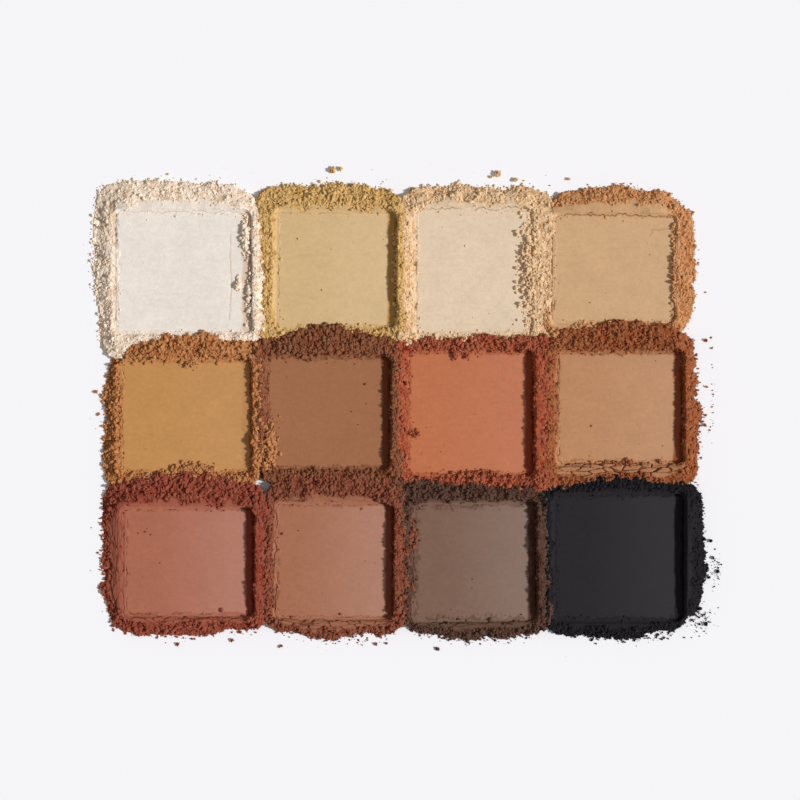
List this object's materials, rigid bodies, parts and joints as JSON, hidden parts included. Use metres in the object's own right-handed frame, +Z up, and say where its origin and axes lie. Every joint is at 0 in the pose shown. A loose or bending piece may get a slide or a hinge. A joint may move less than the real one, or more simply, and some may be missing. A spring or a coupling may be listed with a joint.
{
  "type": "eyeshadow palette",
  "caption": "Pressed eyeshadow powder in square flat cakes laid edge to edge, each inside its own raised crumbly rim.",
  "frame": {"origin": "centre of the whole layout on the surface that the powder lies on", "axes": "+X along a row of shades, from ivory towards camel; +Y from the dark row towards the pale row; +Z up out of the powder"},
  "size_m": [0.1158, 0.0904, 0.0029],
  "materials": {
    "ivory_pressed": "matte, smooth pressed powder",
    "ivory_crumbled": "matte, loose crumbled powder",
    "khaki_pressed": "matte, smooth pressed powder",
    "khaki_crumbled": "matte, loose crumbled powder",
    "cream_pressed": "matte, smooth pressed powder",
    "cream_crumbled": "matte, loose crumbled powder",
    "camel_pressed": "matte, smooth pressed powder",
    "camel_crumbled": "matte, loose crumbled powder",
    "ochre_pressed": "matte, smooth pressed powder",
    "ochre_crumbled": "matte, loose crumbled powder",
    "cocoa_pressed": "matte, smooth pressed powder",
    "cocoa_crumbled": "matte, loose crumbled powder",
    "coral_pressed": "matte, smooth pressed powder",
    "coral_crumbled": "matte, loose crumbled powder",
    "fawn_pressed": "matte, smooth pressed powder",
    "fawn_crumbled": "matte, loose crumbled powder",
    "brick_pressed": "matte, smooth pressed powder",
    "brick_crumbled": "matte, loose crumbled powder",
    "sienna_pressed": "matte, smooth pressed powder",
    "sienna_crumbled": "matte, loose crumbled powder",
    "taupe_pressed": "matte, smooth pressed powder",
    "taupe_crumbled": "matte, loose crumbled powder",
    "black_pressed": "matte, smooth pressed powder",
    "black_crumbled": "matte, loose crumbled powder"
  },
  "bodies": {
    "root": {"black_cake": "black_pressed", "black_crumb_13": "black_crumbled", "black_crumb_14": "black_crumbled", "black_crumb_15": "black_crumbled", "black_rim": "black_crumbled", "brick_cake": "brick_pressed", "brick_crumb_16": "brick_crumbled", "brick_crumb_17": "brick_crumbled", "brick_rim": "brick_crumbled", "camel_cake": "camel_pressed", "camel_crumb_6": "camel_crumbled", "camel_rim": "camel_crumbled", "cocoa_cake": "cocoa_pressed", "cocoa_rim": "cocoa_crumbled", "coral_cake": "coral_pressed", "coral_rim": "coral_crumbled", "cream_cake": "cream_pressed", "cream_crumb_3": "cream_crumbled", "cream_crumb_4": "cream_crumbled", "cream_crumb_5": "cream_crumbled", "cream_rim": "cream_crumbled", "fawn_cake": "fawn_pressed", "fawn_crumb_10": "fawn_crumbled", "fawn_crumb_11": "fawn_crumbled", "fawn_crumb_12": "fawn_crumbled", "fawn_rim": "fawn_crumbled", "ivory_cake": "ivory_pressed", "ivory_crumb_7": "ivory_crumbled", "ivory_rim": "ivory_crumbled", "khaki_cake": "khaki_pressed", "khaki_crumb_1": "khaki_crumbled", "khaki_crumb_2": "khaki_crumbled", "khaki_rim": "khaki_crumbled", "ochre_cake": "ochre_pressed", "ochre_crumb_8": "ochre_crumbled", "ochre_crumb_9": "ochre_crumbled", "ochre_rim": "ochre_crumbled", "sienna_cake": "sienna_pressed", "sienna_crumb_18": "sienna_crumbled", "sienna_crumb_19": "sienna_crumbled", "sienna_rim": "sienna_crumbled", "taupe_cake": "taupe_pressed", "taupe_crumb_20": "taupe_crumbled", "taupe_rim": "taupe_crumbled"}
  },
  "joints": []
}
